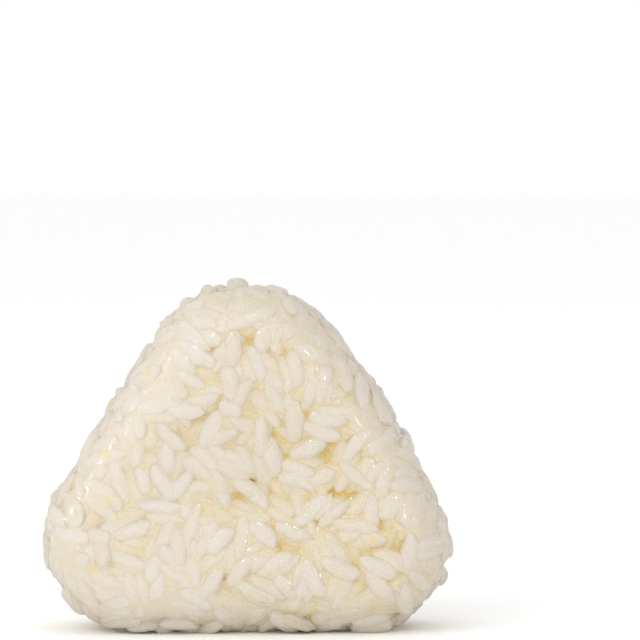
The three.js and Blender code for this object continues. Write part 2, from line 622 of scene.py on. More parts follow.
    def _push_apart(self, grains: Grains, pairs: tuple[Array, Array], grown: float) -> None:
        """Move and turn grains that overlap.

        Args:
            grains: The grains, changed in place.
            pairs: Rows of the pairs to test.
            grown: Share of their full girth that the grains have at this step.
        """
        i, j = pairs
        s, t, gap = self._closest(grains, i, j)
        apart = np.maximum(np.linalg.norm(gap, axis=1), 1e-9)
        girth = grains.girth[i] * np.sqrt(1 - self.slim_end * s * s)
        girth += grains.girth[j] * np.sqrt(1 - self.slim_end * t * t)
        deep = (1 - self.give) * grown * girth / 2 - apart
        hit = deep > 0
        arm = self._arm(grains)
        lever_i, lever_j = (s * arm[i])[hit], (t * arm[j])[hit]
        i, j = i[hit], j[hit]
        away = gap[hit] / apart[hit, None]
        turn_i = self._turning(lever_i, grains.length[i])
        turn_j = self._turning(lever_j, grains.length[j])
        push = deep[hit] / (2 + turn_i * lever_i + turn_j * lever_j)
        count = len(grains)
        contacts = np.bincount(i, minlength=count) + np.bincount(j, minlength=count)
        ease = (self.ease / np.sqrt(np.maximum(contacts, 1)))[:, None]
        move, turn = np.zeros_like(grains.centre), np.zeros_like(grains.axis)
        for k in range(3):
            force = push * away[:, k]
            move[:, k] = np.bincount(i, force, count) - np.bincount(j, force, count)
            turn[:, k] = np.bincount(i, force * turn_i, count)
            turn[:, k] -= np.bincount(j, force * turn_j, count)
        grains.centre += move * ease
        grains.axis = unit(grains.axis + turn * ease)

    def _press_in(self, grains: Grains) -> None:
        """Keep the grains inside the mould, loose ones a little deeper.

        Args:
            grains: The grains, changed in place.
        """
        arm = self._arm(grains)
        for end in (-1.0, 0.0, 1.0):
            lever = end * arm
            point = grains.centre + lever[:, None] * grains.axis
            girth = grains.girth * math.sqrt(1 - self.slim_end * end * end)
            face = smoothstep(*self.face_zone, np.abs(point[:, 1]))
            slack = self.loosest * grains.sink * (1 - self.mould.pressed(point)) * face
            over = self.mould.height(point) + self.wall_share * girth + slack
            out = over > 0
            turn = self._turning(lever[out], grains.length[out])
            push = self.wall_ease * (over[out] / (1 + turn * lever[out]))[:, None]
            push = push * self.mould.outward(point[out])
            grains.centre[out] -= push
            grains.axis[out] = unit(grains.axis[out] - push * turn[:, None])

    def _lay_down(self, grains: Grains) -> None:
        """Turn steep grains near the wall a little flatter.

        Args:
            grains: The grains, changed in place.
        """
        near = np.flatnonzero(self.mould.height(grains.centre) > -self.steep_depth)
        out = self.mould.outward(grains.centre[near])
        lean = (grains.axis[near] * out).sum(1)
        excess = self.laying * (lean - np.clip(lean, -self.steepest, self.steepest))
        grains.axis[near] = unit(grains.axis[near] - excess[:, None] * out)

    def _draw_together(self, grains: Grains) -> None:
        """Press the layers into each other, which brings the deeper ones nearer the wall.

        Args:
            grains: The grains, changed in place.
        """
        below = -self.mould.height(grains.centre) - self.wall_share * grains.girth
        pressed = self.mould.pressed(grains.centre)
        kept = self.squeeze + (self.rim_squeeze - self.squeeze) * pressed
        shift = np.maximum(below, 0.0) * (1 - kept)
        out = self.mould.outward(grains.centre)
        lean = (grains.axis * out).sum(1) * (1 - kept)
        lean[: len(self.top_grains)] = 0.0
        grains.axis = unit(grains.axis - lean[:, None] * out)
        grains.centre += shift[:, None] * out

    def _make_uneven(self, grains: Grains, rng: np.random.Generator) -> None:
        """Shift the grains a little in or out, and single ones well out of the rim.

        Args:
            grains: The grains, changed in place.
            rng: Source of chance.
        """
        stray = rng.normal(0, self.uneven, len(grains))
        stray = np.clip(stray, -2 * self.uneven, 3 * self.uneven)
        out = self.mould.outward(grains.centre)
        stray[(grains.proud > self.knob) & (np.abs(out[:, 1]) < self.rim_facing)] = self.knob
        stray[: len(self.top_grains)] = 0.0
        grains.centre += stray[:, None] * out


# ---- fields around the ball ----------------------------------------------------------------


@dataclass(frozen=True)
class Grid:
    """A regular grid of points around the ball, for fields worked out point by point.

    Attributes:
        low: Its lowest corner.
        high: Its highest corner.
        step: Distance between points.
        bell_reach: How far a bell curve is followed, in radii.
    """

    low: tuple[float, float, float] = (-44 * MM, -18.5 * MM, -3 * MM)
    high: tuple[float, float, float] = (44 * MM, 18.5 * MM, 73.5 * MM)
    step: float = 0.5 * MM
    bell_reach: float = 2.6

    @cached_property
    def shape(self) -> tuple[int, ...]:
        """Number of points along each axis."""
        return tuple(int(round((b - a) / self.step)) + 1 for a, b in zip(self.low, self.high))

    def points(self) -> Array:
        """List the points, as an array with three axes of places and one of coordinates."""
        axes = [a + self.step * np.arange(n) for a, n in zip(self.low, self.shape)]
        return np.stack(np.meshgrid(*axes, indexing="ij"), -1)

    def blur(self, values: Array, radius: float) -> Array:
        """Spread a field with a bell curve.

        Args:
            values: The field.
            radius: Radius of the curve.

        Returns:
            The spread field.
        """
        reach = max(1, math.ceil(self.bell_reach * radius / self.step))
        bell = np.exp(-0.5 * (np.arange(-reach, reach + 1) * self.step / radius) ** 2)
        bell /= bell.sum()
        for axis in range(3):
            margins = [(0, 0)] * 3
            margins[axis] = (reach, reach)
            wide = np.pad(values, margins, "edge")
            size = values.shape[axis]
            parts = (w * np.take(wide, range(k, k + size), axis) for k, w in enumerate(bell))
            values = sum(parts)
        return values

    def sample(self, values: Array, points: Array) -> Array:
        """Read a field at any points, smoothly between the grid's own.

        Args:
            values: The field.
            points: Where to read it. Places outside the grid read its border.

        Returns:
            The values there.
        """
        flat = (points.reshape(-1, 3) - np.array(self.low)) / self.step
        flat = np.clip(flat, 0, np.array(self.shape) - 1.001)  # inside the last cell
        cell = flat.astype(int)
        part = flat - cell
        total = np.zeros(len(flat))
        for corner in np.ndindex(2, 2, 2):
            weight = np.prod(np.where(corner, part, 1 - part), 1)
            total += weight * values[tuple((cell + corner).T)]
        return total.reshape(points.shape[:-1])

    def net(self, values: Array) -> tuple[Array, Array]:
        """Draw a net of quads where a field passes through zero, around its positive part.

        Args:
            values: The field, negative at the border of the grid.

        Returns:
            Points of the net, and its quads as rows of points.
        """
        cells = np.array(self.shape) - 1
        total, hits = np.zeros((cells.prod(), 3)), np.zeros(cells.prod())
        quads = []
        for axis in range(3):
            ahead = np.zeros(3, int)
            ahead[axis] = 1
            u, v = (axis + 1) % 3, (axis + 2) % 3
            near = np.take(values, range(cells[axis]), axis)
            far = np.take(values, range(1, cells[axis] + 1), axis)
            start = np.argwhere((near > 0) != (far > 0))
            first, second = values[tuple(start.T)], values[tuple((start + ahead).T)]
            cross = start.astype(float)
            cross[:, axis] += first / (first - second)
            # The four cells around a crossed edge make one quad.
            ring = []
            for back in ((0, 0), (1, 0), (1, 1), (0, 1)):
                cell = start.copy()
                cell[:, u] -= back[0]
                cell[:, v] -= back[1]
                ring.append(np.ravel_multi_index(cell.T, cells))
                hits += np.bincount(ring[-1], minlength=len(hits))
                for k in range(3):
                    total[:, k] += np.bincount(ring[-1], cross[:, k], len(hits))
            ring = np.stack(ring, 1)
            ring[first < 0] = ring[first < 0, ::-1]
            quads.append(ring)
        used = hits > 0
        number = np.cumsum(used) - 1
        points = total[used] / hits[used, None] * self.step + np.array(self.low)
        return points, number[np.concatenate(quads)]


@dataclass(frozen=True)
class StickyMass:
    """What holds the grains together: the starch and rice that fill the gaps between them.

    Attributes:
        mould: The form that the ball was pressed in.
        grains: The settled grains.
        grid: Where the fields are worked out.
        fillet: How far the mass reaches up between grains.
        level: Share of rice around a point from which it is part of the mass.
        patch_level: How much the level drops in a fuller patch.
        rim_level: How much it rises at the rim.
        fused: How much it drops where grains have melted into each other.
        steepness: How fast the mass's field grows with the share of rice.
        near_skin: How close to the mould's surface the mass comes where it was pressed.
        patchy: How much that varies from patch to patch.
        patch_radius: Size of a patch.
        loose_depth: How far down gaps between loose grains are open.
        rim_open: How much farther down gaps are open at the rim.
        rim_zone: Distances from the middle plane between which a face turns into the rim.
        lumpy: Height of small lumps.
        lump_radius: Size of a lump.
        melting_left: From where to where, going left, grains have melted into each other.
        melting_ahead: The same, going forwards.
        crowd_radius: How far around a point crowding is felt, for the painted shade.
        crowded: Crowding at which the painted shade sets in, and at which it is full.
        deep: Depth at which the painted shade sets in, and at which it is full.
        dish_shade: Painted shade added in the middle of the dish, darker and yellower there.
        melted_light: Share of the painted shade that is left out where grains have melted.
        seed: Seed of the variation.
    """

    mould: Mould
    grains: Grains
    grid: Grid = field(default_factory=Grid)
    fillet: float = 0.55 * MM
    level: float = 0.71
    patch_level: float = 0.02
    rim_level: float = 0.04
    fused: float = 0.08
    steepness: float = 2.5
    near_skin: float = 0.4 * MM
    patchy: float = 0.5 * MM
    patch_radius: float = 1.8 * MM
    loose_depth: float = 2.7 * MM
    rim_open: float = 0.6 * MM
    rim_zone: Pair = (12 * MM, 5 * MM)
    lumpy: float = 0.12 * MM
    lump_radius: float = 0.7 * MM
    melting_left: Pair = (4 * MM, -20 * MM)
    melting_ahead: Pair = (0.0, -9 * MM)
    crowd_radius: float = 1.3 * MM
    crowded: Pair = (0.55, 0.88)
    deep: Pair = (0.1 * MM, 2.3 * MM)
    dish_shade: float = 0.07
    melted_light: float = 0.3
    seed: int = 3

    @cached_property
    def occupied(self) -> Array:
        """Share of rice at each point of the grid, from the grains alone."""
        grid, grains = self.grid, self.grains
        share = np.zeros(grid.shape, np.float32)
        low, top = np.array(grid.low), np.array(grid.shape)
        # Half of a box around each grain, a little wider than the grain.
        reach = np.abs(grains.axis) * grains.length[:, None] / 2 + 0.6 * grains.girth[:, None]
        first = np.maximum(((grains.centre - reach - low) / grid.step).astype(int), 0)
        last = np.minimum(((grains.centre + reach - low) / grid.step).astype(int) + 2, top)
        for k in range(len(grains)):
            box = [np.arange(a, b) * grid.step for a, b in zip(first[k], last[k])]
            x, y, z = (v + o - c for v, o, c in zip(box, low, grains.centre[k]))
            ax, ay, az = grains.axis[k]
            along = ax * x[:, None, None] + ay * y[None, :, None] + az * z[None, None, :]
            far = x[:, None, None] ** 2 + y[None, :, None] ** 2 + z[None, None, :] ** 2
            radius = grains.girth[k] / 2
            out = np.sqrt((2 * along / grains.length[k]) ** 2 + (far - along**2) / radius**2)
            here = share[tuple(slice(a, b) for a, b in zip(first[k], last[k]))]
            np.maximum(here, np.clip(0.5 + (1 - out) * radius / grid.step, 0, 1), out=here)
        return share

    @cached_property
    def filling(self) -> Array:
        """A field that is positive inside the mass."""
        grid = self.grid
        points = grid.points()
        chance = np.random.default_rng(self.seed).normal(size=grid.shape)
        patches, lumps = (grid.blur(chance, r) for r in (self.patch_radius, self.lump_radius))
        patches, lumps = patches / patches.std(), lumps / lumps.std()
        pressed = self.mould.pressed(points)
        # A third of the skin lies at near_skin, and the rest up to twice patchy below that.
        sink = self.near_skin + self.patchy * np.clip(0.4 + patches, 0, 2)
        rim = smoothstep(*self.rim_zone, np.abs(points[..., 1]))
        sink += (self.loose_depth - sink) * (1 - pressed) + self.rim_open * rim * pressed
        shell = (-self.mould.height(points) - sink - self.lumpy * lumps) / MM
        level = self.level - self.fused * self.melted(points)
        level = level - self.patch_level * patches + self.rim_level * rim
        between = (grid.blur(self.occupied, self.fillet) - level) * self.steepness
        return np.maximum(shell, between)

    def melted(self, points: Array) -> Array:
        """Tell how far the grains have melted into each other, from 0 to 1."""
        left = smoothstep(*self.melting_left, points[..., 0])
        return left * smoothstep(*self.melting_ahead, points[..., 1])

    @cached_property
    def crowding(self) -> Array:
        """How much of the space around each point of the grid is rice."""
        mass = np.clip(0.5 + self.filling * MM / self.grid.step, 0, 1)
        return self.grid.blur(np.maximum(self.occupied, mass), self.crowd_radius)

    def shade(self, points: Array) -> Array:
        """Work out the painted shade: how deep places lie between the grains and how crowded they
        are.

        Args:
            points: The places.

        Returns:
            Painted shade from 0 on top to about 1 in a crevice, which the finish paints darker and
            yellower.
        """
        # Painted shade: darker, yellower colour deeper below the mould's surface and where rice
        # crowds around a place.
        depth = smoothstep(*self.deep, -self.mould.height(points))
        crowding = smoothstep(*self.crowded, self.grid.sample(self.crowding, points))
        # More painted shade in the middle of the dish.
        dished = self.dish_shade * self.mould.dish(points) / self.mould.dish_depth
        # Where grains have melted, part of the painted shade is left out.
        kept = 1 - self.melted_light * self.melted(points)
        return dished + (0.5 * depth + 0.5 * crowding) * kept


# ---- shader expressions --------------------------------------------------------------------

Value = Union["Socket", float, Sequence[float]]


class Socket:
    """An output of a shader node that takes part in Python expressions on numbers."""

    def __init__(self, shader: "Shader", output: bpy.types.NodeSocket) -> None:
        """Wrap one output.

        Args:
            shader: The shader that the output's node is in.
            output: The output.
        """
        self.shader = shader
        self.output = output

    def _math(self, operation: str, first: Value, second: Value) -> "Socket":
        """Add a Math node on two values."""
        return self.shader.node("ShaderNodeMath", {"operation": operation}, [first, second])

    def __add__(self, other: Value) -> "Socket":
        """Add a value."""
        return self._math("ADD", self, other)

    def __radd__(self, other: Value) -> "Socket":
        """Add to a value."""
        return self._math("ADD", other, self)

    def __sub__(self, other: Value) -> "Socket":
        """Take a value away."""
        return self._math("SUBTRACT", self, other)

    def __rsub__(self, other: Value) -> "Socket":
        """Take away from a value."""
        return self._math("SUBTRACT", other, self)

    def __mul__(self, other: Value) -> "Socket":
        """Multiply by a value."""
        return self._math("MULTIPLY", self, other)

    def __rmul__(self, other: Value) -> "Socket":
        """Multiply a value by this."""
        return self._math("MULTIPLY", other, self)


class Shader:
    """A material under construction, with one Principled surface."""

    def __init__(self, name: str) -> None:
        """Start a material.

        Args:
            name: Name of the material.
        """
        self.material = bpy.data.materials.new(name)
        self.material.use_nodes = True
        self.tree = self.material.node_tree
        self.surface = self.tree.nodes["Principled BSDF"]

    def node(self, kind: str, settings: dict[str, Any], inputs: Any = (), out: Any = 0) -> Socket:
        """Add any node.

        Args:
            kind: Type of the node.
            settings: Its properties, set before its inputs.
            inputs: Values or links, as a sequence or by the name or number of the input.
            out: Name or number of the output to return.

        Returns:
            The output.
        """
        made = self.tree.nodes.new(kind)
        for name, value in settings.items():
            setattr(made, name, value)
        given = inputs.items() if isinstance(inputs, dict) else enumerate(inputs)
        for key, value in given:
            self._feed(made.inputs[key], value)
        return Socket(self, made.outputs[out])

    def _feed(self, entry: bpy.types.NodeSocket, value: Value) -> None:
        """Link a socket to an input, or set the input's own value.

        Args:
            entry: The input.
            value: The socket or value.
        """
        if isinstance(value, Socket):
            self.tree.links.new(value.output, entry)
        else:
            entry.default_value = value

    def set(self, **values: Value) -> None:
        """Set inputs of the surface, named with underscores for spaces."""
        for name, value in values.items():
            self._feed(self.surface.inputs[name.replace("_", " ")], value)

    def attribute(self, name: str, out: str = "Fac") -> Socket:
        """Read a named attribute of the mesh."""
        return self.node("ShaderNodeAttribute", {"attribute_name": name}, out=out)

    def ramp(self, value: Value, low: float, high: float, top: float = 1.0) -> Socket:
        """Map a value smoothly from the range low to high onto 0 to top."""
        settings = {"interpolation_type": "SMOOTHSTEP"}
        return self.node("ShaderNodeMapRange", settings, [value, low, high, 0.0, top])

    def blend(self, share: Value, first: Value, second: Value) -> Socket:
        """Mix two colours by a share."""
        inputs = {0: share, 6: first, 7: second}
        return self.node("ShaderNodeMix", {"data_type": "RGBA"}, inputs, out=2)

    def tint(self, share: Value, first: Value, second: Value) -> Socket:
        """Multiply one colour by another by a share."""
        settings = {"data_type": "RGBA", "blend_type": "MULTIPLY"}
        return self.node("ShaderNodeMix", settings, {0: share, 6: first, 7: second}, out=2)

    def stretch(self, place: Value, scale: Value) -> Socket:
        """Scale a place along each axis."""
        settings = {"operation": "MULTIPLY"}
        return self.node("ShaderNodeVectorMath", settings, [place, scale])

    def noise(self, where: Value, scale: float) -> Socket:
        """Give smooth noise at a place."""
        inputs = {"Vector": where, "Scale": scale, "Detail": 2.0}
        return self.node("ShaderNodeTexNoise", {}, inputs)

    def bump(self, height: Value, depth: float, strength: float) -> None:
        """Raise the surface's normal by a height map of that depth in metres."""
        inputs = {"Strength": strength, "Distance": depth, "Height": height}
        self.set(Normal=self.node("ShaderNodeBump", {}, inputs))

    def let_through(self, tint: Value, share: float, glow: Value) -> None:
        """Let light through the surface, as starch does.

        Args:
            tint: What the surface leaves of the light that passes it on its way to others.
            share: Share of the body that shows the light from behind it.
            glow: Colour of that share.
        """
        passed = self.node("ShaderNodeBsdfTransparent", {}, [tint])
        lit_behind = self.node("ShaderNodeBsdfTranslucent", {}, [glow])
        body = Socket(self, self.surface.outputs[0])
        body = self.node("ShaderNodeMixShader", {}, [share, body, lit_behind])
        for ray in ("Is Shadow Ray", "Is Diffuse Ray"):
            share = self.node("ShaderNodeLightPath", {}, out=ray)
            body = self.node("ShaderNodeMixShader", {}, [share, body, passed])
        self._feed(self.tree.nodes["Material Output"].inputs["Surface"], body)


Colour = tuple[float, float, float, float]


def srgb(red: int, green: int, blue: int) -> Colour:
    """Turn a colour of 0 to 255 steps into Blender's linear colour.

    Args:
        red: Red steps.
        green: Green steps.
        blue: Blue steps.

    Returns:
        The linear colour, opaque.
    """

    def linear(step: int) -> float:
        """Undo the display curve of one channel."""
        share = step / 255
        return share / 12.92 if share <= 0.04045 else ((share + 0.055) / 1.055) ** 2.4

    return (linear(red), linear(green), linear(blue), 1.0)


# ---- finishes ------------------------------------------------------------------------------


@dataclass(frozen=True)
class Spots:
    """A pattern of soft spots on the skin of a grain.

    Attributes:
        fineness: How many fit along half a grain, about.
        start: Noise at the border of a spot.
        full: Noise in its middle.
    """

    fineness: float
    start: float
    full: float

    def build(self, shader: Shader, place: Socket) -> Socket:
        """Add the pattern to a shader: 1 on the spots and 0 between them."""
        return shader.ramp(shader.noise(place, self.fineness), self.start, self.full)


@dataclass(frozen=True)
class CookedRice:
    """The finish of moist cooked rice.

    Attributes:
        name: Name of the material.
        top: Colour of a grain on top, where no painted shade is laid.
        gap: Painted shade lower between grains, darker and yellower as if lit through some starch.
        gap_shades: Painted shades between which it sets in.
        deep: Painted shade of the deepest crevices, darker and yellower still, as if lit through
            much.
        deep_shades: Painted shades between which that sets in.
        warm: What is left of the light on warm grains, as a colour.
        warmest: Share of that on the warmest.
        germ: Colour of a germ that stayed on a grain.
        clouded: What is left of the light in the clearer spots of a skin, as a colour.
        clear_spots: Pattern of those spots.
        bending: Index of refraction of the skin.
        driest: Roughness where the skin is driest.
        wettest: Roughness where it is wettest.
        wet_spots: Pattern of the wetter parts.
        drops: Pattern of the small drops in them.
        drop_roughness: Roughness of a drop.
        drop_bending: Index of refraction of a drop.
        rough: Strength of the fine relief.
        relief: Height of that relief.
        furrows: Share of the furrows in it, the rest being pores.
        furrow_fineness: How fine the furrows are.
        furrow_stretch: Scale of the furrows along a grain and both ways across.
        pore_fineness: How fine the pores are.
        calm: Share of spots and relief that is gone where grains have melted.
        clear: Whether light passes through on its way to other grains.
        inside: What a skin leaves of that light, as a colour.
        glow: Colour in which a grain shows the light behind its skin.
        glowing: Share of that light in its look.
    """

    name: str = "cooked_rice"
    top: Colour = srgb(201, 195, 188)
    gap: Colour = srgb(200, 188, 160)
    gap_shades: Pair = (0.0, 0.45)
    deep: Colour = srgb(200, 171, 98)
    deep_shades: Pair = (0.5, 1.0)
    warm: Colour = srgb(251, 246, 234)
    warmest: float = 0.5
    germ: Colour = srgb(205, 184, 100)
    clouded: Colour = srgb(246, 243, 237)
    clear_spots: Spots = Spots(8.0, 0.4, 0.62)
    bending: float = 1.4
    driest: float = 0.45
    wettest: float = 0.14
    wet_spots: Spots = Spots(1.6, 0.36, 0.54)
    drops: Spots = Spots(9.0, 0.46, 0.54)
    drop_roughness: float = 0.12
    drop_bending: float = 1.5
    rough: float = 0.65
    relief: float = 0.3 * MM
    furrows: float = 0.4
    furrow_fineness: float = 3.0
    furrow_stretch: tuple[float, float, float] = (0.35, 1.6, 1.6)
    pore_fineness: float = 8.0
    calm: float = 0.7
    clear: bool = True
    inside: Colour = (0.97, 0.95, 0.88, 1.0)
    glow: Colour = (1.0, 0.97, 0.92, 1.0)
    glowing: float = 0.25

    def build(self) -> bpy.types.Material:
        """Make the material.

        Returns:
            The material.
        """
        shader = Shader(self.name)
        place = shader.attribute("grain_place", "Vector")
        crisp = 1.0 - self.calm * shader.attribute("melted")
        wet = self.wet_spots.build(shader, place)
        shader.set(
            Base_Color=self._colour(shader, place, crisp),
            Roughness=self.driest - wet * (self.driest - self.wettest),
            IOR=self.bending,
            Coat_Weight=wet * self.drops.build(shader, place),
            Coat_Roughness=self.drop_roughness,
            Coat_IOR=self.drop_bending,
        )
        furrows = shader.noise(shader.stretch(place, self.furrow_stretch), self.furrow_fineness)
        pores = shader.noise(place, self.pore_fineness)
        height = self.furrows * furrows + (1 - self.furrows) * pores
        shader.bump(crisp * height, self.relief, self.rough)
        if self.clear:
            shader.let_through(self.inside, self.glowing, self.glow)
        return shader.material

    def _colour(self, shader: Shader, place: Socket, crisp: Socket) -> Socket:
        """Colour a grain: painted shade by its depth between grains, its tone, its spots and its
        germ.

        Args:
            shader: The shader to add to.
            place: Place in the grain.
            crisp: How clearly its spots show.

        Returns:
            The colour.
        """
        # Painted shade: between grains and in crevices the colour turns darker and yellower, as if
        # lit through starch.
        shade = shader.attribute("shade")
        colour = shader.blend(shader.ramp(shade, *self.gap_shades), self.top, self.gap)
        colour = shader.blend(shader.ramp(shade, *self.deep_shades), colour, self.deep)
        tone = shader.ramp(shader.attribute("tone"), 0.0, 1.0, self.warmest)
        colour = shader.tint(tone, colour, self.warm)
        colour = shader.tint(crisp * self.clear_spots.build(shader, place), colour, self.clouded)
        return shader.blend(shader.attribute("germ"), colour, self.germ)


@dataclass(frozen=True)
class PaleBoard:
    """The finish of the pale floor.

    Attributes:
        colour: Its colour.
        roughness: Its roughness.
        gloss: Strength of its reflections.
    """

    colour: Colour = (0.98, 0.98, 0.98, 1.0)
    roughness: float = 0.8
    gloss: float = 0.1

    def build(self) -> bpy.types.Material:
        """Make the material.

        Returns:
            The material.
        """
        shader = Shader("pale_board")
        shader.set(
            Base_Color=self.colour, Roughness=self.roughness, Specular_IOR_Level=self.gloss
        )
        return shader.material


# ---- grains --------------------------------------------------------------------------------


class Kind(Enum):
    """The kinds of grain, each of which is one piece."""

    PLUMP = "plump"
    SLENDER = "slender"
    BROKEN = "broken"
    BURIED = "buried"


@dataclass(frozen=True)
class GrainForm:
    """The form of one kind of grain, with the length along X and the germ end ahead.

    Attributes:
        rings: Rings of points along the grain.
        sides: Points around each ring.
        blunt_end: Power that shapes the blunt end: a small one is full, a large one pointed.
        blunt_varies: Shares of it, from and to, that single grains have.
        germ_end: The same power for the germ end.
        germ_varies: Shares of it that single grains have.
        fullness: Power of the outline along the grain: 2 is an ellipse, more is straighter.
        fullness_varies: Shares of it that single grains have.
        width: Width as a share of the grain's girth.
        thickness: Thickness as a share of its girth.
        waver: How far a grain's surface strays from the plain form, as a share of its girth.
        twist: How much the waves of its surface turn along it, from and to.
        crease: Depth of the lengthwise crease, at most, as a share of the girth.
        crease_sharpness: How sharp the crease is.
        bend: How far a grain is bent, as a share of its length.
        bend_middle: Square of the place along a grain that a bend leaves where it is.
        cut: Where along half its length the slanting germ end cuts a grain off.
        cut_varies: Shares of it that single grains have.
        slant: Angles of the cut, from and to, in radians.
        cut_turn: How far it is turned around the grain, as a spread in radians.
        cut_edge: Softness of the cut's edge.
    """

    rings: int = 14
    sides: int = 16
    blunt_end: float = 0.42
    blunt_varies: Pair = (0.85, 1.2)
    germ_end: float = 0.5
    germ_varies: Pair = (0.8, 1.25)
    fullness: float = 2.6
    fullness_varies: Pair = (0.88, 1.15)
    width: float = 1.13
    thickness: float = 0.93
    waver: float = 0.05
    twist: Pair = (0.5, 2.4)
    crease: float = 0.05
    crease_sharpness: float = 9
    bend: float = 0.04
    bend_middle: float = 0.35
    cut: float = 0.8
    cut_varies: Pair = (0.88, 1.12)
    slant: Pair = (0.5, 1.0)
    cut_turn: float = 0.5
    cut_edge: float = 0.12 * MM

    @cached_property
    def stations(self) -> Array:
        """Places of the rings along the grain, from -1 to 1, closer at the ends."""
        return -np.cos(np.linspace(0.0, math.pi, self.rings + 2)[1:-1])

    @cached_property
    def faces(self) -> list[tuple[int, ...]]:
        """Faces of one grain: quads between rings and triangles at the tips."""
        n, last = self.sides, (self.rings - 1) * self.sides
        blunt, germ = self.rings * n, self.rings * n + 1
        faces: list[tuple[int, ...]] = []
        for k in range(n):
            after = (k + 1) % n
            faces.append((blunt, after, k))
            faces.append((germ, last + k, last + after))
            for low in range(0, last, n):
                faces.append((low + k, low + after, low + n + after, low + n + k))
        return faces

    def bodies(self, grains: Grains, rng: np.random.Generator) -> tuple[Array, Array]:
        """Form the surface points of grains, each a little different.

        Args:
            grains: The grains.
            rng: Source of chance.

        Returns:
            Points in the grains' own frames, and the same on the unit form.
        """
        unit_points = self._unit_bodies(len(grains), rng)
        half = np.stack([grains.length, grains.girth * self.width, grains.girth * self.thickness])
        points = unit_points * half.T[:, None, :] / 2
        points = self._cut_off(points, grains, rng)
        bend = rng.normal(0, self.bend, (len(grains), 1, 2)) * grains.length[:, None, None]
        points[..., 1:] += bend * (unit_points[..., :1] ** 2 - self.bend_middle)
        return points, unit_points

    def _unit_bodies(self, count: int, rng: np.random.Generator) -> Array:
        """Form grains of length and girth 2.

        Args:
            count: Number of grains.
            rng: Source of chance.

        Returns:
            Points of each grain, ring by ring, and then those of its tips.
        """
        along = self.stations[None, :, None]
        around = np.linspace(0.0, math.tau, self.sides, endpoint=False)[None, None, :]

        def draw(low: float, high: float) -> Array:
            """Draw one number for each grain."""
            return rng.uniform(low, high, (count, 1, 1))

        blunt = self.blunt_end * draw(*self.blunt_varies)
        germ = self.germ_end * draw(*self.germ_varies)
        power = blunt + (germ - blunt) * (along + 1) / 2
        radius = (1 - np.abs(along) ** (self.fullness * draw(*self.fullness_varies))) ** power
        for turns in (1, 2, 3):
            phase, twist = draw(0, math.tau), draw(*self.twist)
            size = self.waver * rng.normal(0, 1, (count, 1, 1)) / turns**0.5
            radius = radius * (1 + size * np.sin(turns * around + twist * along * math.pi + phase))
        off_crease = (around - draw(0, math.tau)) % math.tau - math.pi
        crease = np.exp(-(off_crease**2) * self.crease_sharpness)
        radius = radius * (1 - self.crease * draw(0, 1) * crease)
        rims = np.broadcast_arrays(along, radius * np.cos(around), radius * np.sin(around))
        tips = np.zeros((count, 2, 3))
        tips[:, :, 0] = (-1.0, 1.0)
        return np.concatenate([np.stack(rims, -1).reshape(count, -1, 3), tips], 1)

    def _cut_off(self, points: Array, grains: Grains, rng: np.random.Generator) -> Array:
        """Cut the grains' germ ends off at a slant, as a lost germ leaves them.

        Args:
            points: Points in the grains' own frames.
            grains: The grains.
            rng: Source of chance.

        Returns:
            The points, those beyond the cut brought back to it with a soft edge.
        """
        count = len(grains)
        slant = rng.uniform(*self.slant, count)
        side = np.where(rng.random(count) < 0.5, 1.0, -1.0)
        turn = rng.normal(0, self.cut_turn, count)
        across = np.sin(slant) * side
        square = np.stack([np.cos(slant), across * np.cos(turn), across * np.sin(turn)], 1)
        reach = grains.length / 2 * self.cut * rng.uniform(*self.cut_varies, count) * np.cos(slant)
        over = (np.einsum("gvi,gi->gv", points, square) - reach[:, None]) / self.cut_edge
        back = self.cut_edge * np.logaddexp(0, over)
        return points - back[..., None] * square[:, None, :]


class Face(Enum):
    """The two faces of the ball, by the sign of y on them."""

    FRONT = -1
    BACK = 1


@dataclass(frozen=True)
class Germ:
    """A bit of yellow germ that stayed on a grain.

    Attributes:
        x: Its middle, to the right of the ball's, in mm.
        z: Its middle, above the board, in mm.
        face: The face that it is on.
    """

    x: float
    z: float
    face: Face = Face.FRONT


